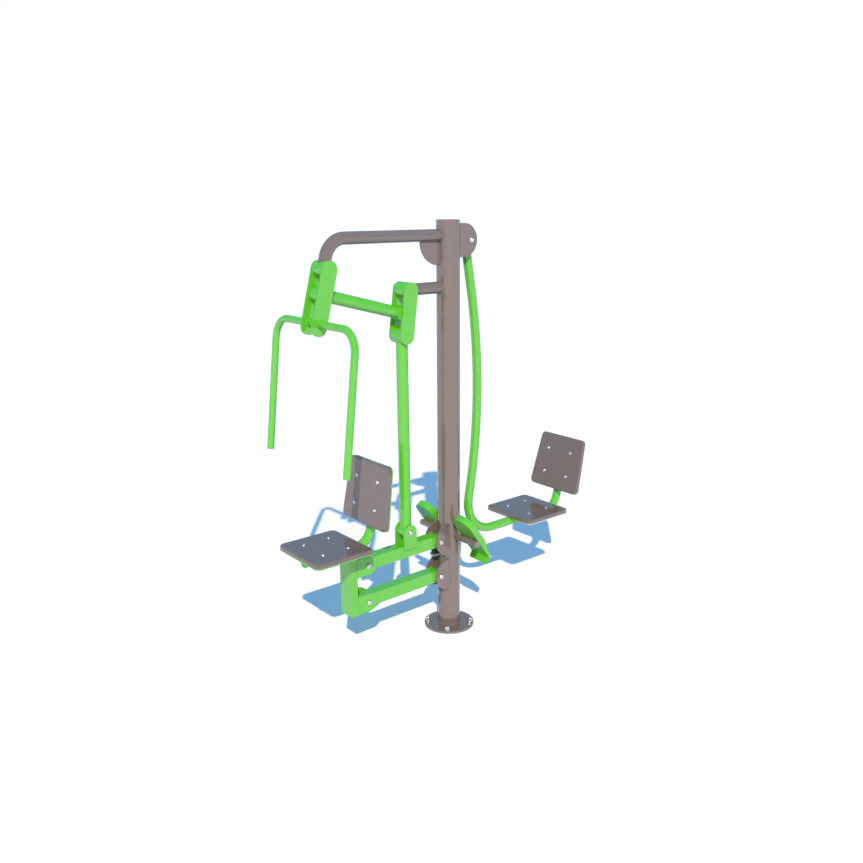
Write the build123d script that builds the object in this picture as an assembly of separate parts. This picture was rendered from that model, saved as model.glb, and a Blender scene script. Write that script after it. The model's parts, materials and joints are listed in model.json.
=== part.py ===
"""Outdoor fitness station: a seated chest press and a swinging leg press on one post.

Frame: millimetres, +Z up, origin on the ground at the centre of the base flange. Both machines
work in the plane y = 0: the chest press on the -X side of the post, the leg press on the +X side.
"Front" is the -Y side and "rear" the +Y side. Every pivot turns about an axis along Y.
"""
import os
from math import acos, atan2, cos, degrees, hypot, radians, sin, tan

from build123d import *

os.makedirs("parts", exist_ok=True)

# Driving dimensions: post and foot
post_diameter = 114.3
post_wall = 4.0
post_height = 2078.0
cap_thickness = 4.0
cap_plug_depth = 20.0
flange_diameter = 258.0
flange_thickness = 12.0
anchor_circle_diameter = 220.0
anchor_count = 4
anchor_diameter = 16.0
anchor_depth = 110.0
anchor_neck_diameter = 15.0
anchor_nut_across = 24.0
anchor_nut_height = 13.0
anchor_dome_height = 6.0
anchor_washer_diameter = 30.0
anchor_washer_thickness = 3.0

# Driving dimensions: fits between pieces
weld_overlap = 0.5
hole_clearance = 0.25
running_clearance = 0.05
open_pivot_clearance = 0.5
rod_pivot_clearance = 6.5
side_clearance = 0.5
stop_gap = 0.4

# Driving dimensions: pivots
lug_gap = 74.0
lug_thickness = 10.0
hub_diameter = 62.0
rocker_hub_diameter = 75.0
bush_wall = 5.0
bush_length = 25.0
pin_diameter = 25.0
bolt_diameter = 16.0
bolt_head_diameter = 28.0
bolt_head_height = 9.0
bolt_socket_across = 10.0
bolt_socket_depth = 5.0
bolt_nut_across = 26.0
bolt_nut_height = 12.0

# Driving dimensions: arms on the post
arm_tube_diameter = 57.0
arm_tube_wall = 3.5
arm_below_top = 71.0
arm_bend_radius = 100.0
arm_bend_angle = 80.0
gusset_radius = 112.0
gusset_thickness = 10.0

# Driving dimensions: rockers, link and push rod
rocker_plate_radius = 38.0
press_pivot_x = -694.0
press_pivot_below_top = 198.0
press_rocker_length = 252.0
press_rocker_lean = 14.5
handle_eye_distance = 236.0
relay_pivot_x = -258.0
relay_pivot_below_top = 314.5
relay_rocker_length = 210.0
relay_rocker_lean = 7.2
crank_length = 110.0
crank_lean = 12.0
link_tube_diameter = 57.0
link_tube_wall = 3.5

# Driving dimensions: handlebar
handle_diameter = 33.7
handle_wall = 3.0
handle_span = 636.0
handle_drop = 609.0
handle_lean = 6.4
handle_bend_radius = 95.0

# Driving dimensions: parallel bars and the lugs that carry them
bar_width = 60.0
bar_height = 62.0
bar_wall = 4.0
hub_post_clearance = 2.0
upper_bar_pivot_z = 491.0
bar_pivot_spacing = 188.0
bar_length = 446.0
bar_drop = 6.0
post_lug_radius = 84.0
post_lug_centre_x = -36.0
rod_foot_x = -278.0
rod_foot_z = 586.0
clevis_overlap = 18.0

# Driving dimensions: seat carriage
upright_depth = 36.0
upright_wall = 4.0
upright_from_pivot = 65.0
upright_foot_below_pivot = 50.0
seat_lug_radius = 46.0

# Driving dimensions: boards and their steel plates
board_thickness = 21.0
plate_thickness = 5.0
leg_back_plate_inset = 12.0
board_corner_radius = 26.0
board_edge_radius = 7.0
seat_length = 306.0
seat_width = 340.0
back_length = 305.0
back_top_width = 312.0
back_bottom_width = 355.0
board_bolt_pitch_length = 134.0
board_bolt_pitch_width = 164.0
board_bolt_diameter = 8.0
board_bolt_head_diameter = 20.0
board_bolt_head_height = 5.0
board_bolt_socket_across = 6.0
board_bolt_socket_depth = 2.8
board_nut_across = 15.0
board_nut_height = 7.0

# Driving dimensions: frame tubes under the boards
frame_tube_diameter = 46.0
frame_tube_wall = 3.2
frame_bend_behind_seat = 3.0
frame_above_back_centre = 105.0
press_seat_centre_x = -739.0
press_seat_top_z = 622.0
press_frame_front_overhang = 34.0
press_back_centre_x = -509.0
press_back_centre_z = 834.5
press_back_lean = 8.6
leg_seat_centre_x = 567.5
leg_seat_top_z = 517.0
leg_back_centre_x = 803.0
leg_back_centre_z = 731.0
leg_back_lean = 14.5

# Driving dimensions: swing bracket and swing tube
swing_pivot_x = 105.0
swing_pivot_below_top = 95.0
swing_plate_radius = 79.0
swing_plate_centre_x = 64.5
swing_top_lean = 10.0
swing_low_lean = 10.0
swing_foot_x = 100.0
swing_low_straight = 62.37
swing_foot_bend_radius = 165.0

# Driving dimensions: buffers
buffer_diameter = 26.0
shelf_thickness = 8.0
shelf_width = 40.0
shelf_below_pivot = 72.0
shelf_reach_past_pivot = 21.0
buffer_past_pivot = 7.0
swing_buffer_below_pivot = 52.0

# Driving dimensions: footrests
foot_tube_diameter = 32.0
foot_tube_wall = 3.0
foot_tube_z = 505.0
foot_tube_length = 436.0
footrest_length = 262.0
footrest_above_tube = 140.0
footrest_width = 134.0
footrest_outer_y = 218.0
footrest_sheet = 5.0
footrest_rim = 34.0
footrest_rim_fade = 100.0
footrest_heel_rim = 10.0
footrest_corner_radius = 62.0
footrest_heel_drop = 38.0
footrest_heel_lean = 24.0
footrest_lean = 35.0

# Places worked out from the driving dimensions
post_radius = post_diameter / 2
gap_half = lug_gap / 2
lug_outer = gap_half + lug_thickness
hub_half = gap_half - side_clearance
hub_radius = hub_diameter / 2
rocker_hub_radius = rocker_hub_diameter / 2
bar_half_width = bar_width / 2
frame_tube_radius = frame_tube_diameter / 2
foot_tube_radius = foot_tube_diameter / 2
board_stack = board_thickness + plate_thickness


def below(pivot, distance, lean):
    """The point at a distance under a pivot, leaning toward -X by an angle in degrees."""
    angle = radians(lean)
    return (pivot[0] - distance * sin(angle), pivot[1] - distance * cos(angle))


press_pivot_z = post_height - press_pivot_below_top
press_pivot = (press_pivot_x, press_pivot_z)
press_crank = below(press_pivot, crank_length, crank_lean)
press_plate_end = below(press_pivot, press_rocker_length, press_rocker_lean)
handle_eye = below(press_pivot, handle_eye_distance, press_rocker_lean)
relay_pivot_z = post_height - relay_pivot_below_top
relay_pivot = (relay_pivot_x, relay_pivot_z)
relay_crank = below(relay_pivot, crank_length, crank_lean)
relay_end = below(relay_pivot, relay_rocker_length, relay_rocker_lean)
rod_foot = (rod_foot_x, rod_foot_z)
bar_run = (bar_length**2 - bar_drop**2) ** 0.5
bar_pivot_x = -(post_radius + hub_radius + hub_post_clearance)
upper_bar_pivot = (bar_pivot_x, upper_bar_pivot_z)
lower_bar_pivot = (bar_pivot_x, upper_bar_pivot_z - bar_pivot_spacing)
upper_bar_end = (bar_pivot_x - bar_run, upper_bar_pivot_z - bar_drop)
lower_bar_end = (upper_bar_end[0], upper_bar_end[1] - bar_pivot_spacing)
swing_pivot_z = post_height - swing_pivot_below_top
swing_pivot = (swing_pivot_x, swing_pivot_z)


# Small building blocks
def save(node, *solids):
    """Writes one node: a single solid, or a group of separate solids."""
    shape = solids[0] if len(solids) == 1 else Compound(children=list(solids))
    shape.label = node
    export_step(shape, f"parts/{node}.step")


def slab(sketch, y_low, y_high):
    """A flat outline drawn as (x, z), given its thickness along Y."""
    return extrude(Plane.XZ.offset(-y_high) * sketch, y_high - y_low)


def rod_y(point, radius, y_low, y_high):
    """A round bar along Y through the point (x, z)."""
    middle = Pos(point[0], (y_low + y_high) / 2, point[1])
    return middle * Rot(X=90) * Cylinder(radius, y_high - y_low)


def ring_y(point, outer_radius, inner_radius, y_low, y_high):
    """A round sleeve along Y through the point (x, z)."""
    bore = rod_y(point, inner_radius, y_low - 1, y_high + 1)
    return rod_y(point, outer_radius, y_low, y_high) - bore


def hub(point, half_length, bore_radius):
    """A pivot hub of the bars: a thick sleeve along Y."""
    return ring_y(point, hub_radius, bore_radius, -half_length, half_length)


def rocker_hub(point):
    """A pivot hub between two rocker plates: a wider sleeve along Y for a pin and its bushes."""
    bore_radius = bush_outer_radius(pin_diameter)
    return ring_y(point, rocker_hub_radius, bore_radius, -hub_half, hub_half)


def rocker_hub_bulk(point):
    """The space that a rocker hub fills, bore included."""
    return rod_y(point, rocker_hub_radius, -hub_half, hub_half)


def bushes(point, half_length, shaft_diameter, clearance):
    """Two plain bushes, one in each end of a hub."""
    inner = shaft_diameter / 2 + clearance
    outer = bush_outer_radius(shaft_diameter)
    front = ring_y(point, outer, inner, -half_length, -half_length + bush_length)
    rear = ring_y(point, outer, inner, half_length - bush_length, half_length)
    return [front, rear]


def bush_outer_radius(shaft_diameter):
    """The outer radius of the bush for a shaft, which is also the hub's bore."""
    return shaft_diameter / 2 + bush_wall


def lobe_plate(start, end, radius, y_low, y_high, holes):
    """A plate with round ends at two points, and (point, radius) holes through it."""
    length = hypot(end[0] - start[0], end[1] - start[1])
    angle = degrees(atan2(end[1] - start[1], end[0] - start[0]))
    middle = Pos((start[0] + end[0]) / 2, (start[1] + end[1]) / 2)
    plate = slab(middle * Rot(Z=angle) * SlotCenterToCenter(length, 2 * radius), y_low, y_high)
    for point, hole_radius in holes:
        plate -= rod_y(point, hole_radius, y_low - 1, y_high + 1)
    return plate


def lobe_lug(pivot, radius, root_x, y_low, y_high, hole_radius):
    """A lug that is round about its pivot and runs straight back to a root line."""
    back = Pos((pivot[0] + root_x) / 2, pivot[1]) * Rectangle(abs(pivot[0] - root_x), 2 * radius)
    outline = Pos(*pivot) * Circle(radius) + back
    return slab(outline, y_low, y_high) - rod_y(pivot, hole_radius, y_low - 1, y_high + 1)


def half_disc_lug(centre, radius, pivot, y_low, y_high, hole_radius):
    """A half-disc lug that butts against the post, with the pivot hole through it."""
    back = Pos(centre[0] / 2, centre[1]) * Rectangle(abs(centre[0]), 2 * radius)
    outward = Pos(centre[0] + (radius if centre[0] > 0 else -radius), centre[1])
    half = Pos(*centre) * Circle(radius) & outward * Rectangle(2 * radius, 2 * radius)
    plate = slab(back + half, y_low, y_high) - post_bulk()
    return plate - rod_y(pivot, hole_radius, y_low - 1, y_high + 1)


def post_bulk():
    """The space that the post tube fills, bore included."""
    return Pos(0, 0, post_height / 2) * Cylinder(post_radius, post_height)


def bent_path(points, radii):
    """A line through the points with an arc of the given radius at each corner."""
    corners = [Vector(*point) for point in points]
    edges = []
    start = corners[0]
    for before, corner, after, radius in zip(corners, corners[1:], corners[2:], radii):
        toward = (before - corner).normalized()
        onward = (after - corner).normalized()
        half_angle = acos(toward.dot(onward)) / 2
        reach = radius / tan(half_angle)
        arc_start = corner + toward * reach
        arc_end = corner + onward * reach
        inward = (toward + onward).normalized()
        arc_middle = corner + inward * (radius / sin(half_angle) - radius)
        edges.append(Line(start, arc_start))
        edges.append(ThreePointArc(arc_start, arc_middle, arc_end))
        start = arc_end
    edges.append(Line(start, corners[-1]))
    return Wire(edges)


def swept_round(path, radius):
    """A solid round bar along a path."""
    profile = Plane(origin=path @ 0, z_dir=path % 0) * Circle(radius)
    return sweep(profile, path=path)


def tube(path, diameter, wall):
    """A round tube along a path."""
    return swept_round(path, diameter / 2) - swept_round(path, diameter / 2 - wall)


def in_plane(points):
    """Points (x, z) of the mechanism's plane as (x, y, z)."""
    return [(x, 0, z) for x, z in points]


def end_cap(place, diameter, wall):
    """A plug in a tube's end: a thin head outside and a short spigot inside.

    The place's +Z axis points out of the tube, and its origin is on the tube's end.
    """
    head = Pos(0, 0, cap_thickness / 2) * Cylinder(diameter / 2, cap_thickness)
    head = fillet(head.edges().group_by(Axis.Z)[-1], cap_thickness / 2)
    spigot = Pos(0, 0, -cap_plug_depth / 2) * Cylinder(diameter / 2 - wall, cap_plug_depth)
    return place * (head + spigot)


def cap_on(path, at_end, diameter, wall):
    """An end cap on the first or the last point of a tube's path."""
    outward = path % 1 if at_end else -(path % 0)
    return end_cap(Plane(origin=path @ (1 if at_end else 0), z_dir=outward), diameter, wall)


def dome_head(diameter, height):
    """A low round bolt head standing on z = 0."""
    head = Pos(0, 0, height / 2) * Cylinder(diameter / 2, height)
    return fillet(head.edges().group_by(Axis.Z)[-1], height * 0.85)


def socket_head(diameter, height, across, depth):
    """A low round bolt head standing on z = 0, with a six-sided key socket in it."""
    socket = extrude(RegularPolygon(across / 2, 6, major_radius=False), depth + 1)
    return dome_head(diameter, height) - Pos(0, 0, height - depth) * socket


def hex_nut(across, height, bore_radius):
    """A plain six-sided nut standing on z = 0."""
    return extrude(RegularPolygon(across / 2, 6, major_radius=False) - Circle(bore_radius), height)


def pivot_bolt(point, outer):
    """A domed pivot bolt through two lugs, with its nut: head in front, nut behind."""
    shank_radius = bolt_diameter / 2
    tail = outer + bolt_nut_height + 4
    front_face = Pos(point[0], -outer, point[1]) * Rot(X=90)
    rear_face = Pos(point[0], outer, point[1]) * Rot(X=-90)
    bolt = rod_y(point, shank_radius, -outer - 1, tail)
    socket = (bolt_socket_across, bolt_socket_depth)
    bolt += front_face * socket_head(bolt_head_diameter, bolt_head_height, *socket)
    nut = rear_face * hex_nut(bolt_nut_across, bolt_nut_height, shank_radius)
    return [bolt, nut]


def box_bar(start, end, hubs):
    """A square-section bar between two pivots, cut back round their hubs."""
    length = hypot(end[0] - start[0], end[1] - start[1])
    angle = degrees(atan2(end[1] - start[1], end[0] - start[0]))
    inner_size = (length + 2, bar_width - 2 * bar_wall, bar_height - 2 * bar_wall)
    section = Box(length, bar_width, bar_height) - Box(*inner_size)
    middle = Pos((start[0] + end[0]) / 2, 0, (start[1] + end[1]) / 2)
    bar = middle * Rot(Y=-angle) * section
    for point in hubs:
        bar -= rod_y(point, hub_radius, -bar_width, bar_width)
    return bar


def board_place(centre_x, centre_z, lean_from_flat):
    """A board's own frame: origin on the middle of its front face, +Z out of that face."""
    angle = radians(lean_from_flat)
    out = (-sin(angle), 0, cos(angle))
    return Plane(origin=(centre_x, 0, centre_z), x_dir=(0, 1, 0), z_dir=out)


def bolt_places():
    """The four bolt places on a board, in the board's own frame."""
    half_width = board_bolt_pitch_width / 2
    half_length = board_bolt_pitch_length / 2
    return [Pos(u * half_width, v * half_length) for u in (-1, 1) for v in (-1, 1)]


def board_outline(top_width, bottom_width, length):
    """A four-sided outline with round corners; a backrest's top edge is toward its -Y."""
    half_length = length / 2
    top = [(-top_width / 2, -half_length), (top_width / 2, -half_length)]
    bottom = [(bottom_width / 2, half_length), (-bottom_width / 2, half_length)]
    outline = make_face(Polyline(*top, *bottom, close=True))
    return fillet(outline.vertices(), board_corner_radius)


def board_and_fixings(place, outline, plate_inset):
    """A board, the steel plate behind it, and the bolts and nuts that hold them together."""
    plate_outline = offset(outline, -plate_inset) if plate_inset else outline
    board = Pos(0, 0, -board_thickness) * extrude(outline, board_thickness)
    board = fillet(board.edges().group_by(Axis.Z)[-1], board_edge_radius)
    plate = Pos(0, 0, -board_stack) * extrude(plate_outline, plate_thickness)
    hole_radius = board_bolt_diameter / 2 + hole_clearance
    hole = Pos(0, 0, -board_stack / 2) * Cylinder(hole_radius, 2 * board_stack)
    tail = board_stack + board_nut_height + 3
    shank = Pos(0, 0, -tail / 2) * Cylinder(board_bolt_diameter / 2, tail)
    socket = (board_bolt_socket_across, board_bolt_socket_depth)
    bolt = shank + socket_head(board_bolt_head_diameter, board_bolt_head_height, *socket)
    nut_place = Pos(0, 0, -board_stack - board_nut_height)
    nut = nut_place * hex_nut(board_nut_across, board_nut_height, board_bolt_diameter / 2)
    fixings = []
    for spot in bolt_places():
        board -= spot * hole
        plate -= spot * hole
        fixings += [place * spot * bolt, place * spot * nut]
    return place * board, place * plate, fixings


def frame_rise(back_centre, lean, floor_z, seat_rear_x):
    """The tube's rise behind a seat: its corner, its top end and its bend radius.

    The tube runs level at a height, bends up just behind the seat and follows the backrest.
    """
    angle = radians(lean)
    behind = board_stack + frame_tube_radius
    on_tube = (back_centre[0] + behind * cos(angle), back_centre[1] - behind * sin(angle))
    corner = (on_tube[0] - (on_tube[1] - floor_z) * tan(angle), floor_z)
    rise = frame_above_back_centre
    top = (on_tube[0] + rise * sin(angle), on_tube[1] + rise * cos(angle))
    half_turn = radians(90 - lean) / 2
    bend_radius = (corner[0] - seat_rear_x - frame_bend_behind_seat) / tan(half_turn)
    return corner, top, bend_radius


# Post, cap and foot
def make_post():
    bore = Cylinder(post_radius - post_wall, 3 * post_height)
    tube_length = post_height - cap_thickness - flange_thickness
    wall = Pos(0, 0, flange_thickness + tube_length / 2) * Cylinder(post_radius, tube_length) - bore
    wall -= rod_y((0, foot_tube_z), foot_tube_radius, -post_diameter, post_diameter)
    save("post_tube", wall)
    top = Plane(origin=(0, 0, post_height - cap_thickness), z_dir=(0, 0, 1))
    save("post_cap", end_cap(top, post_diameter, post_wall))


def anchor_places():
    """The anchor places on the flange's bolt circle, half a step round from the X axis."""
    step = 360 / anchor_count
    return [Rot(Z=step * (k + 0.5)) * Pos(anchor_circle_diameter / 2) for k in range(anchor_count)]


def make_foot():
    flange = Pos(0, 0, flange_thickness / 2) * Cylinder(flange_diameter / 2, flange_thickness)
    flange = chamfer(flange.edges().group_by(Axis.Z)[-1], 1)
    radius = anchor_diameter / 2
    neck_radius = anchor_neck_diameter / 2
    washer_top = flange_thickness + anchor_washer_thickness
    nut_top = washer_top + anchor_nut_height
    stud = Pos(0, 0, -anchor_depth) * extrude(Circle(radius), anchor_depth)
    stud += extrude(Circle(neck_radius), nut_top)
    washer_ring = Circle(anchor_washer_diameter / 2) - Circle(neck_radius)
    washer = Pos(0, 0, flange_thickness) * extrude(washer_ring, anchor_washer_thickness)
    dome = Pos(0, 0, nut_top) * dome_head(anchor_nut_across * 0.86, anchor_dome_height)
    nut = Pos(0, 0, washer_top) * hex_nut(anchor_nut_across, anchor_nut_height, neck_radius) + dome
    pieces = []
    for place in anchor_places():
        flange -= place * Cylinder(radius + hole_clearance, 4 * flange_thickness)
        pieces += [place * stud, place * washer, place * nut]
    save("base_flange", flange)
    save("anchor_bolts", *pieces)


# Arms with their pivot hubs
def make_arms():
    arm_z = post_height - arm_below_top
    angle = radians(arm_bend_angle)
    corner_x = press_pivot_x + (arm_z - press_pivot_z) / tan(angle)
    arm_path = bent_path(in_plane([(0, arm_z), (corner_x, arm_z), press_pivot]), [arm_bend_radius])
    top_arm = tube(arm_path, arm_tube_diameter, arm_tube_wall)
    save("top_arm", top_arm - post_bulk() - rocker_hub_bulk(press_pivot))
    stub_path = bent_path(in_plane([(0, relay_pivot_z), relay_pivot]), [])
    stub_arm = tube(stub_path, arm_tube_diameter, arm_tube_wall)
    save("stub_arm", stub_arm - post_bulk() - rocker_hub_bulk(relay_pivot))
    save("arm_hubs", rocker_hub(press_pivot), rocker_hub(relay_pivot))
    press_bushes = bushes(press_pivot, hub_half, pin_diameter, running_clearance)
    relay_bushes = bushes(relay_pivot, hub_half, pin_diameter, running_clearance)
    save("arm_bushes", *press_bushes, *relay_bushes)
    gusset_top = arm_z - arm_tube_diameter / 2 + weld_overlap
    reach = post_radius + gusset_radius
    quarter = Pos(-post_radius, gusset_top) * Circle(gusset_radius)
    quarter &= Pos(-reach / 2, gusset_top - gusset_radius / 2) * Rectangle(reach, gusset_radius)
    inside_post = Pos(-post_radius / 2, gusset_top - gusset_radius / 2)
    quarter += inside_post * Rectangle(post_radius, gusset_radius)
    gusset = slab(quarter, -gusset_thickness / 2, gusset_thickness / 2)
    save("arm_gusset", gusset - post_bulk() - swept_round(arm_path, arm_tube_diameter / 2))


# Press rocker with its handlebar
def make_press_rocker():
    pin_radius = pin_diameter / 2
    handle_radius = handle_diameter / 2
    holes = [(press_pivot, pin_radius), (press_crank, pin_radius), (handle_eye, handle_radius)]
    ends = (press_pivot, press_plate_end, rocker_plate_radius)
    save("press_rocker_front_plate", lobe_plate(*ends, -lug_outer, -gap_half, holes))
    save("press_rocker_rear_plate", lobe_plate(*ends, gap_half, lug_outer, holes))
    pins = [rod_y(point, pin_radius, -lug_outer, lug_outer) for point in (press_pivot, press_crank)]
    save("press_rocker_pins", *pins)
    half_span = handle_span / 2
    foot_x = handle_eye[0] - handle_drop * tan(radians(handle_lean))
    foot_z = handle_eye[1] - handle_drop
    top_corners = [(handle_eye[0], side * half_span, handle_eye[1]) for side in (-1, 1)]
    feet = [(foot_x, side * half_span, foot_z) for side in (-1, 1)]
    path = bent_path([feet[0], *top_corners, feet[1]], [handle_bend_radius, handle_bend_radius])
    save("handlebar", tube(path, handle_diameter, handle_wall))
    caps = [cap_on(path, at_end, handle_diameter, handle_wall) for at_end in (False, True)]
    save("handlebar_caps", *caps)


# Link tube between the two rockers
def make_link():
    path = bent_path(in_plane([press_crank, relay_crank]), [])
    link = tube(path, link_tube_diameter, link_tube_wall)
    save("link_tube", link - rocker_hub_bulk(press_crank) - rocker_hub_bulk(relay_crank))
    save("link_hubs", rocker_hub(press_crank), rocker_hub(relay_crank))
    press_end = bushes(press_crank, hub_half, pin_diameter, running_clearance)
    relay_end_bushes = bushes(relay_crank, hub_half, pin_diameter, open_pivot_clearance)
    save("link_bushes", *press_end, *relay_end_bushes)


# Relay rocker
def make_relay_rocker():
    pin_radius = pin_diameter / 2
    pin_points = (relay_pivot, relay_crank, relay_end)
    holes = [(point, pin_radius) for point in pin_points]
    ends = (relay_pivot, relay_end, rocker_plate_radius)
    save("relay_rocker_front_plate", lobe_plate(*ends, -lug_outer, -gap_half, holes))
    save("relay_rocker_rear_plate", lobe_plate(*ends, gap_half, lug_outer, holes))
    save("relay_rocker_pins", *[rod_y(point, pin_radius, -lug_outer, lug_outer) for point in pin_points])


# Push rod from the relay rocker down to the upper bar
def make_push_rod():
    clevis_half = bar_half_width - side_clearance
    path = bent_path(in_plane([relay_end, rod_foot]), [])
    rod = tube(path, link_tube_diameter, link_tube_wall)
    rod -= rocker_hub_bulk(relay_end)
    rod -= rod_y(rod_foot, hub_radius, -hub_half, hub_half)
    save("push_rod", rod)
    foot_bore = bolt_diameter / 2 + rod_pivot_clearance
    save("push_rod_hubs", rocker_hub(relay_end), hub(rod_foot, clevis_half, foot_bore))
    save("push_rod_bushes", *bushes(relay_end, hub_half, pin_diameter, running_clearance))


# Upper and lower bars, the clevis on the upper bar, and the post's lugs
def make_bars():
    bolt_bore = bush_outer_radius(bolt_diameter)
    upper = (upper_bar_pivot, upper_bar_end)
    lower = (lower_bar_pivot, lower_bar_end)
    save("upper_bar", box_bar(*upper, upper))
    save("upper_bar_hubs", *[hub(point, hub_half, bolt_bore) for point in upper])
    post_end = bushes(upper_bar_pivot, hub_half, bolt_diameter, running_clearance)
    seat_end = bushes(upper_bar_end, hub_half, bolt_diameter, running_clearance)
    save("upper_bar_bushes", *post_end, *seat_end)
    save("lower_bar", box_bar(*lower, lower))
    save("lower_bar_hubs", *[hub(point, hub_half, bolt_bore) for point in lower])
    post_end = bushes(lower_bar_pivot, hub_half, bolt_diameter, running_clearance)
    seat_end = bushes(lower_bar_end, hub_half, bolt_diameter, open_pivot_clearance)
    save("lower_bar_bushes", *post_end, *seat_end)
    make_clevis()


def make_clevis():
    bar_top_z = upper_bar_pivot_z + (rod_foot_x - bar_pivot_x) / bar_run * bar_drop + bar_height / 2
    plate_foot = bar_top_z - clevis_overlap
    outline = Pos(*rod_foot) * Circle(rocker_plate_radius)
    rise = rod_foot_z - plate_foot
    outline += Pos(rod_foot_x, plate_foot + rise / 2) * Rectangle(2 * rocker_plate_radius, rise)
    clevis_outer = bar_half_width + lug_thickness
    bolt_hole = bolt_diameter / 2
    bolt_bulk = rod_y(rod_foot, bolt_hole, -clevis_outer - 1, clevis_outer + 1)
    front = slab(outline, -clevis_outer, -bar_half_width) - bolt_bulk
    rear = slab(outline, bar_half_width, clevis_outer) - bolt_bulk
    save("clevis_plates", front, rear)
    save("clevis_bolt", *pivot_bolt(rod_foot, clevis_outer))


def make_post_lugs():
    hole = bolt_diameter / 2
    for name, pivot in (("upper_post_lugs", upper_bar_pivot), ("lower_post_lugs", lower_bar_pivot)):
        centre = (post_lug_centre_x, pivot[1])
        shape = (centre, post_lug_radius, pivot)
        front = half_disc_lug(*shape, -lug_outer, -gap_half, hole)
        save(name, front, half_disc_lug(*shape, gap_half, lug_outer, hole))
    centre = (swing_plate_centre_x, swing_pivot_z)
    shape = (centre, swing_plate_radius, swing_pivot)
    front = half_disc_lug(*shape, -lug_outer, -gap_half, hole)
    save("swing_bracket_plates", front, half_disc_lug(*shape, gap_half, lug_outer, hole))
    post_pivots = (upper_bar_pivot, lower_bar_pivot, swing_pivot)
    bolts = [pivot_bolt(point, lug_outer) for point in post_pivots]
    save("post_pivot_bolts", *bolts[0], *bolts[1], *bolts[2])


# Rubber buffers that the bars and the swing tube rest on
def make_buffers():
    shelf_top = upper_bar_pivot_z - shelf_below_pivot
    shelf_end = bar_pivot_x - shelf_reach_past_pivot
    shelf_middle = Pos(shelf_end / 2, 0, shelf_top - shelf_thickness / 2)
    save("stop_shelf", shelf_middle * Box(-shelf_end, shelf_width, shelf_thickness) - post_bulk())
    buffer_x = bar_pivot_x - buffer_past_pivot
    bar_slope = bar_drop / bar_run
    bar_underside = upper_bar_pivot_z - buffer_past_pivot * bar_slope - bar_height / 2 - stop_gap
    rise = bar_underside - shelf_top
    bar_buffer = Pos(buffer_x, 0, shelf_top + rise / 2) * Cylinder(buffer_diameter / 2, rise)
    angle = radians(swing_top_lean)
    rest_x = swing_pivot_x + swing_buffer_below_pivot * tan(angle)
    rest = Vector(rest_x, 0, swing_pivot_z - swing_buffer_below_pivot)
    toward_post = Vector(-cos(angle), 0, -sin(angle))
    face = rest + toward_post * (frame_tube_radius + stop_gap)
    swing_buffer = extrude(Plane(origin=face, z_dir=toward_post) * Circle(buffer_diameter / 2), face.X)
    save("rubber_buffers", bar_buffer, swing_buffer - post_bulk())


# Seat carriage of the chest press
def make_seat_carriage():
    root_x = upper_bar_end[0] - upright_from_pivot
    seat_under = press_seat_top_z - board_stack
    frame_z = seat_under - frame_tube_radius
    front_x = press_seat_centre_x - seat_length / 2 + press_frame_front_overhang
    seat_rear_x = press_seat_centre_x + seat_length / 2
    back_centre = (press_back_centre_x, press_back_centre_z)
    corner, top, bend_radius = frame_rise(back_centre, press_back_lean, frame_z, seat_rear_x)
    path = bent_path(in_plane([(front_x, frame_z), corner, top]), [bend_radius])
    save("press_frame_tube", tube(path, frame_tube_diameter, frame_tube_wall))
    caps = [cap_on(path, at_end, frame_tube_diameter, frame_tube_wall) for at_end in (False, True)]
    save("press_frame_caps", *caps)
    foot_z = lower_bar_end[1] - upright_foot_below_pivot
    height = frame_z - foot_z
    upright_x = root_x - upright_depth / 2
    upright = Pos(upright_x, 0, foot_z + height / 2) * Box(upright_depth, 2 * lug_outer, height)
    inside = (upright_depth - 2 * upright_wall, 2 * (lug_outer - upright_wall), height + 2)
    upright -= Pos(upright_x, 0, foot_z + upright_wall + inside[2] / 2) * Box(*inside)
    save("seat_upright", upright - swept_round(path, frame_tube_radius))
    lugs = []
    for pivot in (upper_bar_end, lower_bar_end):
        shape = (pivot, seat_lug_radius, root_x)
        lugs.append(lobe_lug(*shape, -lug_outer, -gap_half, bolt_diameter / 2))
        lugs.append(lobe_lug(*shape, gap_half, lug_outer, bolt_diameter / 2))
    save("seat_lugs", *lugs)
    bolts = [pivot_bolt(point, lug_outer) for point in (upper_bar_end, lower_bar_end)]
    save("carriage_pivot_bolts", *bolts[0], *bolts[1])
    seat_place = board_place(press_seat_centre_x, press_seat_top_z, 0)
    back_place = board_place(press_back_centre_x, press_back_centre_z, 90 - press_back_lean)
    save_boards("press", seat_place, back_place, 0)


def save_boards(machine, seat_place, back_place, back_plate_inset):
    """Writes a machine's seat and backrest, with their plates, bolts and nuts."""
    seat_outline = board_outline(seat_width, seat_width, seat_length)
    back_outline = board_outline(back_top_width, back_bottom_width, back_length)
    seat_board, seat_plate, seat_fixings = board_and_fixings(seat_place, seat_outline, 0)
    back_board, back_plate, back_fixings = board_and_fixings(back_place, back_outline, back_plate_inset)
    save(f"{machine}_seat_board", seat_board)
    save(f"{machine}_seat_plate", seat_plate)
    save(f"{machine}_back_board", back_board)
    save(f"{machine}_back_plate", back_plate)
    save(f"{machine}_board_bolts", *seat_fixings, *back_fixings)


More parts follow.
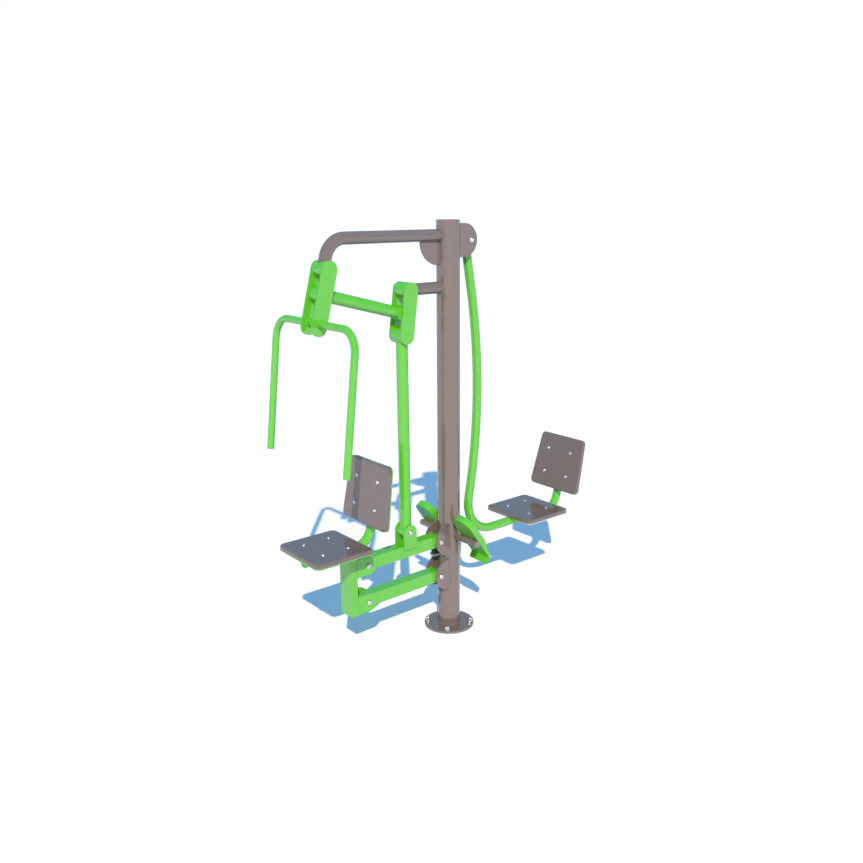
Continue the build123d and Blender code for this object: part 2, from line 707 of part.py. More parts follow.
# Leg press: a seat on a long swinging tube
def make_leg_press():
    bolt_bore = bush_outer_radius(bolt_diameter)
    frame_z = leg_seat_top_z - board_stack - frame_tube_radius
    seat_rear_x = leg_seat_centre_x + seat_length / 2
    back_centre = (leg_back_centre_x, leg_back_centre_z)
    corner, top, bend_radius = frame_rise(back_centre, leg_back_lean, frame_z, seat_rear_x)
    top_slope = tan(radians(swing_top_lean))
    low_slope = tan(radians(swing_low_lean))
    rise_sum = top_slope * swing_pivot_z + low_slope * frame_z
    bow_z = (swing_pivot_x - swing_foot_x + rise_sum) / (top_slope + low_slope)
    bow = (swing_foot_x + low_slope * (bow_z - frame_z), bow_z)
    low_run = hypot(bow[0] - swing_foot_x, bow_z - frame_z)
    foot_reach = swing_foot_bend_radius * tan(radians(90 + swing_low_lean) / 2)
    bow_reach = low_run - foot_reach - swing_low_straight
    swing_bow_radius = bow_reach / tan(radians(swing_top_lean + swing_low_lean) / 2)
    points = in_plane([swing_pivot, bow, (swing_foot_x, frame_z), corner, top])
    path = bent_path(points, [swing_bow_radius, swing_foot_bend_radius, bend_radius])
    hub_bulk = rod_y(swing_pivot, hub_radius, -hub_half, hub_half)
    save("swing_tube", tube(path, frame_tube_diameter, frame_tube_wall) - hub_bulk)
    save("swing_tube_cap", cap_on(path, True, frame_tube_diameter, frame_tube_wall))
    save("swing_hub", hub(swing_pivot, hub_half, bolt_bore))
    save("swing_bushes", *bushes(swing_pivot, hub_half, bolt_diameter, running_clearance))
    seat_place = board_place(leg_seat_centre_x, leg_seat_top_z, 0)
    back_place = board_place(leg_back_centre_x, leg_back_centre_z, 90 - leg_back_lean)
    save_boards("leg", seat_place, back_place, leg_back_plate_inset)


# Footrests on a cross tube through the post
def footrest(side):
    """A dished sheet footrest: a plate with a rim that fades toward the heel edge."""
    angle = radians(footrest_lean)
    middle_y = side * (footrest_outer_y - footrest_width / 2)
    origin = (foot_tube_radius * cos(angle), middle_y, foot_tube_z + foot_tube_radius * sin(angle))
    place = Plane(origin=origin, x_dir=(0, 1, 0), z_dir=(cos(angle), 0, sin(angle)))
    down = -1 if place.y_dir.Z > 0 else 1
    toe = -down * footrest_above_tube
    heel = toe + down * footrest_length
    outline = Pos(0, (toe + heel) / 2) * Rectangle(footrest_width, footrest_length)
    toe_corners = [v for v in outline.vertices() if abs(v.Y - toe) < 1]
    outline = fillet(toe_corners, footrest_corner_radius)
    inner = offset(outline, -footrest_sheet)
    inner += Pos(0, heel) * Rectangle(footrest_width - 2 * footrest_sheet, 2 * footrest_corner_radius)
    plate = extrude(outline, footrest_sheet)
    rim = extrude(outline - inner, footrest_rim)
    fade_start = heel - down * footrest_rim_fade
    beyond = heel + down * footrest_width
    drop = footrest_rim - footrest_heel_rim
    slope_end = footrest_heel_rim - drop * abs(beyond - heel) / footrest_rim_fade
    fade = Polyline((fade_start, footrest_rim), (heel, footrest_heel_rim), (beyond, slope_end),
                    (beyond, 2 * footrest_rim), (fade_start, 2 * footrest_rim), close=True)
    fade_face = Plane.YZ.offset(-footrest_width) * make_face(fade)
    rim -= extrude(fade_face, 2 * footrest_width)
    return place * (plate + rim) + heel_flange(place, heel)


def heel_flange(place, heel):
    """The footrest's heel edge, turned down and back under the sheet."""
    edge = place.from_local_coords(Vector(0, heel, 0))
    half_sheet = footrest_sheet / 2
    hanging = Pos(half_sheet, 0, half_sheet - footrest_heel_drop / 2)
    box = Box(footrest_sheet, footrest_width, footrest_heel_drop)
    return Pos(edge.X, edge.Y, edge.Z) * Rot(Y=footrest_heel_lean) * hanging * box


def make_footrests():
    half = foot_tube_length / 2
    path = Wire([Line((0, -half, foot_tube_z), (0, half, foot_tube_z))])
    save("footrest_tube", tube(path, foot_tube_diameter, foot_tube_wall))
    caps = [cap_on(path, at_end, foot_tube_diameter, foot_tube_wall) for at_end in (False, True)]
    save("footrest_tube_caps", *caps)
    save("front_footrest", footrest(-1))
    save("rear_footrest", footrest(1))


make_post()
make_foot()
make_arms()
make_press_rocker()
make_link()
make_relay_rocker()
make_push_rod()
make_bars()
make_post_lugs()
make_buffers()
make_seat_carriage()
make_leg_press()
make_footrests()
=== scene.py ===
# %% [markdown]
# An outdoor fitness station, dressed for a picture.
#
# The station is one tall post with two machines on it: a chest press on the left, whose handlebar
# lifts the user's own seat, and a leg press on the right, whose seat swings on a long bowed tube.
# The rigid pieces come ready made from CAD, so this lesson is about the rest: a camera that stands
# where the photographer stood, light, finishes that look like what they are, and the weld beads
# that hold such a machine together.

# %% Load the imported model
import json
from math import asin, cos, pi, radians, sin, sqrt

import bmesh
import bpy
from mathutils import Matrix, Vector


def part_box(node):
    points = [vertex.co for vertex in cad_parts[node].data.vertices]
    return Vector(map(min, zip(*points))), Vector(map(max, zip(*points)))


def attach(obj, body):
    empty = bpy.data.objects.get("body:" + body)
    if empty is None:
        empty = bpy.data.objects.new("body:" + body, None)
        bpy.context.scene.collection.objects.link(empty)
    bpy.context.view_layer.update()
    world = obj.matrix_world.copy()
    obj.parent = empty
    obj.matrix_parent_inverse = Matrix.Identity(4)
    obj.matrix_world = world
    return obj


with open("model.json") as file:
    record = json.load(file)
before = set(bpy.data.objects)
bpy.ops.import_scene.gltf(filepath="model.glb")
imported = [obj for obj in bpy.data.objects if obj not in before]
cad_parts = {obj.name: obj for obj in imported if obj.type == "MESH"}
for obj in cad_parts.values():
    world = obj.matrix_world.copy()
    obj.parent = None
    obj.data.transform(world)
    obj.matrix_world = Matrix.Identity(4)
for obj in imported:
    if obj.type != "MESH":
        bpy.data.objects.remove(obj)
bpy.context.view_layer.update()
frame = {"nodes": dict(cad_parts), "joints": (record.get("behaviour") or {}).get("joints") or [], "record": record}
nodes = frame["nodes"]

# %% [markdown]
# Sizes are easier to think about in millimetres, while Blender works in metres, so one helper turns
# the first into the second. The pivots come from the model's own joints, and other sizes from the
# boxes of the pieces, so little has to be typed twice.

# %% Sizes and pivots
def mm(value):
    """Millimetres as metres."""
    return value / 1000


def box_mm(node):
    """A piece's lowest and highest corners in mm."""
    low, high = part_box(node)
    return low * 1000, high * 1000


pivot_mm = {joint["name"]: Vector(joint["pos_m"]) * 1000 for joint in frame["joints"]}
for name, place in pivot_mm.items():
    print(name, [round(part, 1) for part in place])

# %% [markdown]
# The camera. A photograph fixes its camera by the lines it shows: the post's edges lean together by
# an amount that only one height and distance give. Those were worked out beforehand, and here they
# are only written down: where the camera stands, how far it turns and tips, and its focal length.
# The picture was cropped a little off centre, which a lens shift repeats. Turning the camera instead
# would make the upright post lean.

# %% Camera
picture_width = 863
focal_length_pixels = 893.5
centre_offset_pixels = 26.7
camera_place = Vector((-2.7864, -3.3148, 2.1655))
camera_turn = -40.69
camera_tip_down = 14.51
farthest_view = 4000

lens = bpy.data.cameras.new("camera")
lens.sensor_width = 36
lens.lens = focal_length_pixels / picture_width * lens.sensor_width
lens.shift_x = -centre_offset_pixels / picture_width
lens.clip_end = farthest_view
camera = bpy.data.objects.new("camera", lens)
camera.location = camera_place
camera.rotation_euler = (radians(90 - camera_tip_down), 0, radians(camera_turn))
bpy.context.scene.collection.objects.link(camera)
bpy.context.scene.camera = camera
print("lens:", round(lens.lens, 2), "mm, shift", round(lens.shift_x, 4))

# %% [markdown]
# Colours. A colour picker shows sRGB numbers, and a shader wants linear light. One function makes the
# change, so that every colour below can be written as the hex value that it has on a screen.

# %% From hex to linear colour
def linear(hex_colour):
    """An sRGB hex colour such as "#808080" as the linear colour that a shader socket takes."""
    parts = [int(hex_colour[place:place + 2], 16) / 255 for place in (1, 3, 5)]
    light = [c / 12.92 if c <= 0.04045 else ((c + 0.055) / 1.055) ** 2.4 for c in parts]
    return (*light, 1)


print("middle grey as linear:", [round(part, 3) for part in linear("#808080")])

# %% [markdown]
# Nodes. A material is a small tree of nodes. Adding one always means the same four things: choose its
# kind, set its options, fill some sockets and link others, so one function does all of that. The
# shader that every new material starts with only needs the last two.

# %% One helper for every node
def set_sockets(tree, node, values=None, links=None):
    """Fills some of a node's sockets and links others."""
    for socket, value in (values or {}).items():
        node.inputs[socket].default_value = value
    for socket, source in (links or {}).items():
        tree.links.new(source, node.inputs[socket])


def add(tree, kind, options=None, values=None, links=None):
    """Adds a node: its options, the values of its sockets, and what is linked to them."""
    node = tree.nodes.new(kind)
    for name, option in (options or {}).items():
        setattr(node, name, option)
    set_sockets(tree, node, values, links)
    return node


def new_material(name):
    """An empty node material, with its tree and its principled shader."""
    material = bpy.data.materials.new(name)
    material.use_nodes = True
    tree = material.node_tree
    return material, tree, tree.nodes["Principled BSDF"]


print("node helper ready")

# %% [markdown]
# Patterns. Real finishes are never quite even: paint drifts in tone, plating is scuffed, plastic is
# cloudy. Noise in the piece's own space gives all of that, since it stays on the piece when it moves,
# and it is scaled from real millimetres. A noise seldom leaves its middle values, so those are
# stretched to the range that is wanted.

# %% Noise, ranges and two-tone colours
noise_low, noise_high = 0.3, 0.7
MIX_A, MIX_B, MIX_OUT = 6, 7, 2


def per_metre(pattern_mm):
    """The texture scale that repeats a pattern every so many millimetres."""
    return 1000 / pattern_mm


def own_space(tree):
    """Places in the piece's own space."""
    return add(tree, "ShaderNodeTexCoord").outputs["Object"]


def noise(tree, pattern_mm, detail, roughness=0.5):
    """A noise that is fixed to its piece."""
    values = {"Scale": per_metre(pattern_mm), "Detail": detail, "Roughness": roughness}
    texture = add(tree, "ShaderNodeTexNoise", values=values, links={"Vector": own_space(tree)})
    return texture.outputs["Fac"]


def spread(tree, source, low, high):
    """A noise stretched to run from low to high."""
    values = {"From Min": noise_low, "From Max": noise_high, "To Min": low, "To Max": high}
    return add(tree, "ShaderNodeMapRange", values=values, links={"Value": source}).outputs["Result"]


def two_tone(tree, factor, colour, other):
    """Two colours, mixed by a factor from zero to one."""
    tones = {MIX_A: linear(colour), MIX_B: linear(other)}
    mix = add(tree, "ShaderNodeMix", {"data_type": "RGBA"}, tones, {"Factor": factor})
    return mix.outputs[MIX_OUT]


def larger(tree, one, other):
    """The larger of two values."""
    return add(tree, "ShaderNodeMath", {"operation": "MAXIMUM"}, links={0: one, 1: other}).outputs[0]


print("a 9 mm pattern has scale", round(per_metre(9), 1))

# %% [markdown]
# Powder-coated steel. The tubes and plates were sprayed with dry paint powder and baked, which melts
# into a tough, glossy skin. Its tell-tale is orange peel, a faint waviness that blurs reflections, and
# the skin is a touch thinner, so a touch lighter, over sharp edges. A flat colour would look like
# plastic. Real peel is about 3 mm from crest to crest, too fine for a picture taken from almost five
# metres, so it is drawn at 9 mm. The Bevel node rounds the light on edges that the CAD left sharp,
# and where it turns away from the true surface there is an edge.

# %% Powder-coated steel
peel_mm = 9
peel_height_mm = 0.12
peel_strength = 0.25
paint_drift_mm = 260
paint_roughness = 0.09
paint_ior = 1.55
gloss_level = 0.9
edge_round_mm = 1.6
edge_starts, edge_full = 0.97, 0.80
edge_lightening = 0.45
drift_lightening = 0.16


def powder_coated_steel(name, colour, lighter):
    """Glossy baked paint: orange peel, a slow drift in tone, and lighter edges."""
    material, tree, shader = new_material(name)
    drift = noise(tree, paint_drift_mm, detail=3)
    peel = noise(tree, peel_mm, detail=1, roughness=0.4)
    bevel = add(tree, "ShaderNodeBevel", {"samples": 4}, {"Radius": mm(edge_round_mm)})
    rounded = bevel.outputs[0]
    true_normal = add(tree, "ShaderNodeNewGeometry").outputs["Normal"]
    facing = add(tree, "ShaderNodeVectorMath", {"operation": "DOT_PRODUCT"},
                 links={0: rounded, 1: true_normal})
    edge = add(tree, "ShaderNodeMapRange",
               values={"From Min": edge_starts, "From Max": edge_full, "To Max": edge_lightening},
               links={"Value": facing.outputs["Value"]})
    thin = larger(tree, edge.outputs["Result"], spread(tree, drift, 0, drift_lightening))
    wavy = add(tree, "ShaderNodeBump",
               values={"Strength": peel_strength, "Distance": mm(peel_height_mm)},
               links={"Height": peel, "Normal": rounded})
    gloss = spread(tree, drift, paint_roughness * 0.85, paint_roughness * 1.15)
    set_sockets(tree, shader, {"IOR": paint_ior, "Specular IOR Level": gloss_level},
                {"Base Color": two_tone(tree, thin, colour, lighter),
                 "Roughness": gloss, "Normal": wavy.outputs["Normal"]})
    return material


green_paint = powder_coated_steel("powder_coated_steel_green", "#54B621", "#63BE32")
grey_paint = powder_coated_steel("powder_coated_steel_taupe", "#6C6059", "#776B65")
print("paints:", green_paint.name, grey_paint.name)

# %% [markdown]
# High-density polyethylene board. Seats and backrests are cut from a thick sheet of coloured plastic,
# rolled with a fine pebble grain so that nobody slides off. Up close it looks like tiny leather. The
# grain could be modelled, but a bump does it for far fewer faces. Real pebbles are about 1.5 mm wide,
# too fine to show, so they are drawn at 4 mm.

# %% Polyethylene board
pebble_mm = 4
pebble_height_mm = 0.25
pebble_strength = 0.12
pebble_smoothness = 0.6
board_cloud_mm = 90
board_roughness_low, board_roughness_high = 0.05, 0.09
plastic_ior = 1.5


def polyethylene_board(name, colour, lighter):
    """Cloudy coloured plastic with a fine pebble grain."""
    material, tree, shader = new_material(name)
    pebble = add(tree, "ShaderNodeTexVoronoi", {"feature": "SMOOTH_F1"},
                 {"Scale": per_metre(pebble_mm), "Smoothness": pebble_smoothness},
                 {"Vector": own_space(tree)})
    cloud = noise(tree, board_cloud_mm, detail=4)
    grain = add(tree, "ShaderNodeBump",
                values={"Strength": pebble_strength, "Distance": mm(pebble_height_mm)},
                links={"Height": pebble.outputs["Distance"]})
    worn = spread(tree, cloud, board_roughness_low, board_roughness_high)
    set_sockets(tree, shader, {"IOR": plastic_ior, "Specular IOR Level": gloss_level},
                {"Base Color": two_tone(tree, cloud, colour, lighter),
                 "Roughness": worn, "Normal": grain.outputs["Normal"]})
    return material


board = polyethylene_board("polyethylene_board_taupe", "#665A53", "#6D615A")
print("board:", board.name)

# %% [markdown]
# Bright zinc-plated steel. The bolts, nuts and washers are forged steel with a thin bright plating,
# and so is the one plate that was left unpainted, under the leg press seat. They are metal through
# and through: metallic at one, the default index of refraction, and all their colour in the
# reflection. Forging and handling leave fine scratches, which show as roughness that changes every
# few millimetres.

# %% Zinc-plated steel
scratch_mm = 3
zinc_roughness_low, zinc_roughness_high = 0.22, 0.40


def zinc_plated_steel(name, shade, colour):
    """Bright metal with fine scratches."""
    material, tree, shader = new_material(name)
    scratch = noise(tree, scratch_mm, detail=6)
    dull = spread(tree, scratch, zinc_roughness_low, zinc_roughness_high)
    set_sockets(tree, shader, {"Metallic": 1},
                {"Base Color": two_tone(tree, scratch, shade, colour), "Roughness": dull})
    return material


zinc_steel = zinc_plated_steel("zinc_plated_steel", "#D0CBC4", "#E6E2DC")
print("fixings:", zinc_steel.name)

# %% [markdown]
# Moulded plastic and rubber. The buffers are black rubber, the bushes a dark hard-wearing acetal, and
# the plugs in the tube ends polyethylene coloured to match the paint. All are moulded, which leaves a
# fine even texture, so one function makes them, and they differ in colour, gloss and grain.

# %% Rubber, acetal and polyethylene plugs
grain_height_mm = 0.1
grain_strength = 0.2


def moulded(name, colour, lighter, roughness, grain_mm):
    """Plastic or rubber with the fine grain of its mould."""
    material, tree, shader = new_material(name)
    grain = noise(tree, grain_mm, detail=3)
    bumps = add(tree, "ShaderNodeBump",
                values={"Strength": grain_strength, "Distance": mm(grain_height_mm)},
                links={"Height": grain})
    matte = spread(tree, grain, roughness * 0.9, roughness * 1.1)
    set_sockets(tree, shader, {"IOR": plastic_ior},
                {"Base Color": two_tone(tree, grain, colour, lighter),
                 "Roughness": matte, "Normal": bumps.outputs["Normal"]})
    return material


rubber = moulded("rubber_black", "#141414", "#202020", roughness=0.75, grain_mm=2)
acetal = moulded("acetal_dark", "#1B1B1D", "#262628", roughness=0.45, grain_mm=3)
grey_plug = moulded("polyethylene_plug_taupe", "#7B726C", "#857C76", roughness=0.40, grain_mm=4)
green_plug = moulded("polyethylene_plug_green", "#66C942", "#72D04F", roughness=0.40, grain_mm=4)
print("moulded:", rubber.name, acetal.name, grey_plug.name, green_plug.name)

# %% [markdown]
# Dressing the CAD pieces. The record says which material slot each piece has, so a table from slot to
# finish dresses all of them in one loop.

# %% Finishes onto the CAD pieces
finish_of_slot = {
    "green_paint": green_paint,
    "grey_paint": grey_paint,
    "board": board,
    "zinc_steel": zinc_steel,
    "rubber": rubber,
    "bush_plastic": acetal,
    "grey_cap": grey_plug,
    "green_cap": green_plug,
}
subparts = frame["record"]["subparts"]
for piece in subparts:
    mesh = nodes[piece["node"]].data
    mesh.materials.clear()
    mesh.materials.append(finish_of_slot[piece["material_slot"]])
print("dressed:", len(subparts), "pieces")

# %% [markdown]
# Weld beads. Such a machine is steel tube and plate, welded together before it is painted, and the
# beads are what gives the corners their soft look. A bead is a string of molten drops that froze one
# on the next, so it is a thin tube with a ripple at every drop. It could be a bump on the paint, but
# then its outline would stay sharp, so it is real geometry. Real drops are about 1.5 mm apart, too
# fine to show, so they are drawn at 3.2 mm. First come the lines that the beads follow: even steps
# along a joint, a few to each drop.

# %% Lines along a joint
bead_radius_mm = 2.6
drop_pitch_mm = 3.2
steps_per_drop = 3
fewest_steps = 4


def joint_line(place_at, start, end, length_mm):
    """Even steps along a joint, where place_at gives the point (in mm) at each value in a range."""
    steps = max(fewest_steps, round(length_mm / drop_pitch_mm * steps_per_drop))
    return [Vector(place_at(start + (end - start) * step / steps)) for step in range(steps + 1)]


def straight(start, end):
    """A straight joint between two points in mm."""
    start, end = Vector(start), Vector(end)
    return joint_line(lambda part: start.lerp(end, part), 0, 1, (end - start).length)


def both_sides(*lines):
    """The same lines on the front and on the rear of the machine."""
    return [[Vector((x, side * y, z)) for x, y, z in line] for line in lines for side in (1, -1)]


print("bead", 2 * bead_radius_mm, "mm wide, a drop every", drop_pitch_mm, "mm")

# %% [markdown]
# The beads themselves. At each step along a line goes a ring of six corners, a little wider on every
# drop and narrower at both ends, where the welder let go, and faces join each ring to the next. All
# the beads of one moving body make one piece, which has the body's paint and rides on it.

# %% Lay beads along the lines
ring_corners = 6
ripple = 0.14
end_taper = 0.55
# No joint runs this way, so the cross product with it is never zero.
slanted = Vector((0.31, 0.47, 0.83))


def lay_bead(mesh, line):
    """Adds a rippled bead to a mesh: rings of corners, joined by faces, with closed ends."""
    rings = []
    last = len(line) - 1
    for step, point in enumerate(line):
        ahead = line[min(step + 1, last)] - line[max(step - 1, 0)]
        out = ahead.cross(slanted).normalized()
        side = ahead.cross(out).normalized()
        swell = 1 + ripple * cos(2 * pi * step / steps_per_drop)
        width = bead_radius_mm * swell * (end_taper if step in (0, last) else 1)
        corners = []
        for turn in range(ring_corners):
            angle = 2 * pi * turn / ring_corners
            offset = out * (width * cos(angle)) + side * (width * sin(angle))
            corners.append(mesh.verts.new((point + offset) / 1000))
        rings.append(corners)
    for ring, following in zip(rings, rings[1:]):
        for turn in range(ring_corners):
            after = (turn + 1) % ring_corners
            mesh.faces.new((ring[turn], ring[after], following[after], following[turn]))
    mesh.faces.new(reversed(rings[0]))
    mesh.faces.new(rings[-1])


def weld(body, paint, lines):
    """Makes one piece of all the beads on a body, painted with it, and lets it ride on it."""
    name = body + "_weld_beads"
    mesh = bmesh.new()
    for line in lines:
        lay_bead(mesh, line)
    bmesh.ops.recalc_face_normals(mesh, faces=mesh.faces)
    data = bpy.data.meshes.new(name)
    mesh.to_mesh(data)
    mesh.free()
    data.shade_smooth()
    data.materials.append(paint)
    piece = bpy.data.objects.new(name, data)
    bpy.context.scene.collection.objects.link(piece)
    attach(piece, body)
    print(name, len(lines), "beads,", len(data.vertices), "corners")


print("bead maker ready")

# %% [markdown]
# Joints between round pieces. They are curves that a welder follows by eye and that a little geometry
# gives exactly: a tube on the post, a tube on a pivot hub, and a round bar through a plate. The sizes
# are read from the boxes of the pieces. All rocker plates and lugs are equally thick and equally far
# apart, so one plate gives the inside and outside faces of all.

# %% Joints between round pieces
post_radius = box_mm("post_tube")[1].x
arm_radius = box_mm("stub_arm")[1].y
frame_tube_radius = box_mm("press_frame_tube")[1].y
bar_hub_radius = (box_mm("swing_hub")[1].x - box_mm("swing_hub")[0].x) / 2
rocker_hub_radius = box_mm("link_hubs")[1].z - pivot_mm["link_pivot"].z
plate_inside, plate_outside = [corner.y for corner in box_mm("press_rocker_rear_plate")]


def on_post(across):
    """How far out from the post's axis its surface is, at a distance across."""
    return sqrt(post_radius**2 - across**2)


def tube_on_post(height):
    """The joint of a level tube that runs toward -X from the post."""
    def place_at(angle):
        across = arm_radius * cos(angle)
        return (-on_post(across), across, height + arm_radius * sin(angle))
    return joint_line(place_at, 0, 2 * pi, 2 * pi * arm_radius)


def tube_on_hub(centre, toward, tube_radius, hub_radius, half_width):
    """The joint of a tube on a pivot hub, in two halves, kept within a half width of y = 0."""
    away = Vector((toward[0], 0, toward[1])).normalized()
    across = Vector((away.z, 0, -away.x))
    reach = asin(min(1, half_width / tube_radius))

    def place_at(angle):
        aside = tube_radius * cos(angle)
        level = centre + across * aside + away * sqrt(hub_radius**2 - aside**2)
        return (level.x, tube_radius * sin(angle), level.z)
    halves = [(-reach, reach), (pi - reach, pi + reach)]
    return [joint_line(place_at, low, high, (high - low) * tube_radius) for low, high in halves]


def ring_on_plate(centre, radius, y):
    """The joint of a round bar along Y where it meets a plate's face."""
    def place_at(angle):
        return (centre[0] + radius * cos(angle), y, centre[1] + radius * sin(angle))
    return joint_line(place_at, 0, 2 * pi, 2 * pi * radius)


radii = {"post": post_radius, "bar hubs": bar_hub_radius, "rocker hubs": rocker_hub_radius}
print("radii:", {name: round(radius, 2) for name, radius in radii.items()})

# %% [markdown]
# The post's own beads. It stands on its flange in a full ring of weld. Both arms meet it in
# saddle-shaped joints and end in pivot hubs. The lugs of the bars and the bracket plates of the swing
# are welded on both faces, and a quarter-disc gusset fills the corner under the top arm.

# %% Beads of the post, the arms and the lugs
lug_end_short = 2
gusset_end_short = 4
arm_end_slope = radians(80)
flange_top = box_mm("base_flange")[1].z
arm_height = box_mm("top_arm")[1].z - arm_radius
arm_hub = pivot_mm["press_rocker_pivot"]
relay_hub = pivot_mm["relay_rocker_pivot"]


def foot_ring(angle):
    """The post's foot on the flange."""
    return (post_radius * cos(angle), post_radius * sin(angle), flange_top)


frame_beads = [joint_line(foot_ring, 0, 2 * pi, 2 * pi * post_radius)]
frame_beads += [tube_on_post(arm_height), tube_on_post(relay_hub.z)]
for node, side in (("upper_post_lugs", -1), ("lower_post_lugs", -1), ("swing_bracket_plates", 1)):
    low, high = box_mm(node)
    for y in (plate_inside, plate_outside):
        x = side * on_post(y)
        bottom, top = low.z + lug_end_short, high.z - lug_end_short
        frame_beads += both_sides(straight((x, y, bottom), (x, y, top)))

gusset_low, gusset_high = box_mm("arm_gusset")
gusset_y = gusset_high.y
under_arm = arm_height - sqrt(arm_radius**2 - gusset_y**2)
post_face = -on_post(gusset_y)
gusset_corners = [
    (post_face, gusset_y, gusset_low.z + gusset_end_short),
    (post_face, gusset_y, under_arm - gusset_end_short),
    (post_face - gusset_end_short, gusset_y, under_arm),
    (gusset_low.x + gusset_end_short, gusset_y, under_arm),
]
frame_beads += both_sides(straight(*gusset_corners[:2]), straight(*gusset_corners[2:]))

hub_joint = (arm_radius, rocker_hub_radius, arm_radius)
frame_beads += tube_on_hub(arm_hub, (cos(arm_end_slope), sin(arm_end_slope)), *hub_joint)
frame_beads += tube_on_hub(relay_hub, (1, 0), *hub_joint)
print("beads on the post so far:", len(frame_beads))

# %% [markdown]
# The footrests and the stop shelf. The footrests' tube passes through the post and is welded all
# round on both sides, and the little shelf under the upper bar has one bead along its top. The
# footrests are only stitched to their tube, because short beads pull thin sheet less out of shape
# than one long bead. A stitch lies where the tube's round side leaves the sheet, which is a small
# angle either side of the line where they touch.

# %% Beads of the footrests and the shelf, and the frame's piece
footrest_lean = radians(35)
stitch_angle = radians(28)
footrest_stitch_starts = (112, 150, 188)
footrest_stitch_length = 24
footrest_stitch_lift = 0.8
shelf_bead_half = 18
shelf_bead_length = 38
foot_tube_low, foot_tube_high = box_mm("footrest_tube")
foot_tube_radius = foot_tube_high.x
foot_tube_height = (foot_tube_low.z + foot_tube_high.z) / 2
shelf_top = box_mm("stop_shelf")[1].z


def foot_tube_joint(angle):
    """The footrest tube's joint with the post."""
    x = foot_tube_radius * cos(angle)
    return (x, on_post(x), foot_tube_height + foot_tube_radius * sin(angle))


def shelf_joint(y):
    """The shelf's top edge on the post."""
    return (-on_post(y), y, shelf_top)


frame_beads += both_sides(joint_line(foot_tube_joint, 0, 2 * pi, 2 * pi * foot_tube_radius))
frame_beads.append(joint_line(shelf_joint, -shelf_bead_half, shelf_bead_half, shelf_bead_length))

stitch_radius = foot_tube_radius + footrest_stitch_lift
for angle in (footrest_lean - stitch_angle, footrest_lean + stitch_angle):
    x = stitch_radius * cos(angle)
    z = foot_tube_height + stitch_radius * sin(angle)
    for y in footrest_stitch_starts:
        frame_beads += both_sides(straight((x, y, z), (x, y + footrest_stitch_length, z)))
weld("frame", grey_paint, frame_beads)

# %% [markdown]
# The two bars. Each is a square tube, cut round at both ends to fit its pivot hubs, so the welds on
# its sides are half circles. The upper bar also carries the clevis that the push rod lifts it by: two
# plates, each with a bead down both edges and one along its foot.

# %% Beads of the two bars
clevis_bead_short = 3
bar_side = box_mm("upper_bar")[1].y
bar_reach = pivot_mm["seat_carriage_pivot"] - pivot_mm["upper_bar_pivot"]


def bar_on_hub(centre, toward_x):
    """The half circle where a bar's side meets its pivot hub."""
    def place_at(angle):
        return (centre.x + toward_x * bar_hub_radius * cos(angle), bar_side,
                centre.z + bar_hub_radius * sin(angle))
    return joint_line(place_at, -pi / 2, pi / 2, pi * bar_hub_radius)


bar_beads = {}
for body in ("upper_bar", "lower_bar"):
    post_end = pivot_mm[body + "_pivot"]
    bar_beads[body] = both_sides(bar_on_hub(post_end, -1), bar_on_hub(post_end + bar_reach, 1))

clevis_low, clevis_high = box_mm("clevis_plates")
clevis_bead_top = box_mm("upper_bar")[1].z - clevis_bead_short
left_foot = (clevis_low.x, bar_side, clevis_low.z)
right_foot = (clevis_high.x, bar_side, clevis_low.z)
bar_beads["upper_bar"] += both_sides(
    straight(left_foot, right_foot),
    straight(left_foot, (clevis_low.x, bar_side, clevis_bead_top)),
    straight(right_foot, (clevis_high.x, bar_side, clevis_bead_top)))
for body, lines in bar_beads.items():
    weld(body, green_paint, lines)

# %% [markdown]
# The rockers, the link and the push rod. The handlebar passes through both plates of the press rocker
# and is welded all round on both faces of each. The pins are ground flush with the plates, so the
# relay rocker shows no weld at all. The link and the push rod are tubes between pivot hubs. At the
# push rod's foot the beads stop short of the clevis plates, which they would rub.

# %% Beads of the press rocker, the link and the push rod
handle_radius = 33.7 / 2
rod_foot_bead_half_width = 24
handle_high = box_mm("handlebar")[1]
handle_eye = (handle_high.x - handle_radius, handle_high.z - handle_radius)
rocker_beads = [ring_on_plate(handle_eye, handle_radius, y) for y in (plate_outside, plate_inside)]
weld("press_rocker", green_paint, both_sides(*rocker_beads))

press_crank = pivot_mm["link_pivot"]
link_run = relay_hub - arm_hub
link_radius = box_mm("link_tube")[1].y
link_joint = (link_radius, rocker_hub_radius, link_radius)
link_beads = tube_on_hub(press_crank, (link_run.x, link_run.z), *link_joint)
link_beads += tube_on_hub(press_crank + link_run, (-link_run.x, -link_run.z), *link_joint)
weld("link", green_paint, link_beads)

rod_top = pivot_mm["push_rod_pivot"]
clevis_radius = (clevis_high.x - clevis_low.x) / 2
rod_foot = Vector((clevis_low.x + clevis_radius, 0, clevis_high.z - clevis_radius))
rod_run = rod_foot - rod_top
foot_joint = (link_radius, bar_hub_radius, rod_foot_bead_half_width)
rod_beads = tube_on_hub(rod_top, (rod_run.x, rod_run.z), *link_joint)
rod_beads += tube_on_hub(rod_foot, (-rod_run.x, -rod_run.z), *foot_joint)
weld("push_rod", green_paint, rod_beads)

# %% [markdown]
# Stitches under the boards. Tube and plate touch along one line under each seat and behind each
# backrest, and short stitches on both sides of that line hold them together. A backrest leans, so
# its stitches are placed along and behind the middle of its leaning plate.

# %% Stitches between plates and tubes
plate_thickness = 5
stitch_lift = 1.2
stitch_end_short = 8
back_stitches = [(-90, -50), (-15, 25), (60, 98)]
stitch_aside = frame_tube_radius * sin(stitch_angle)


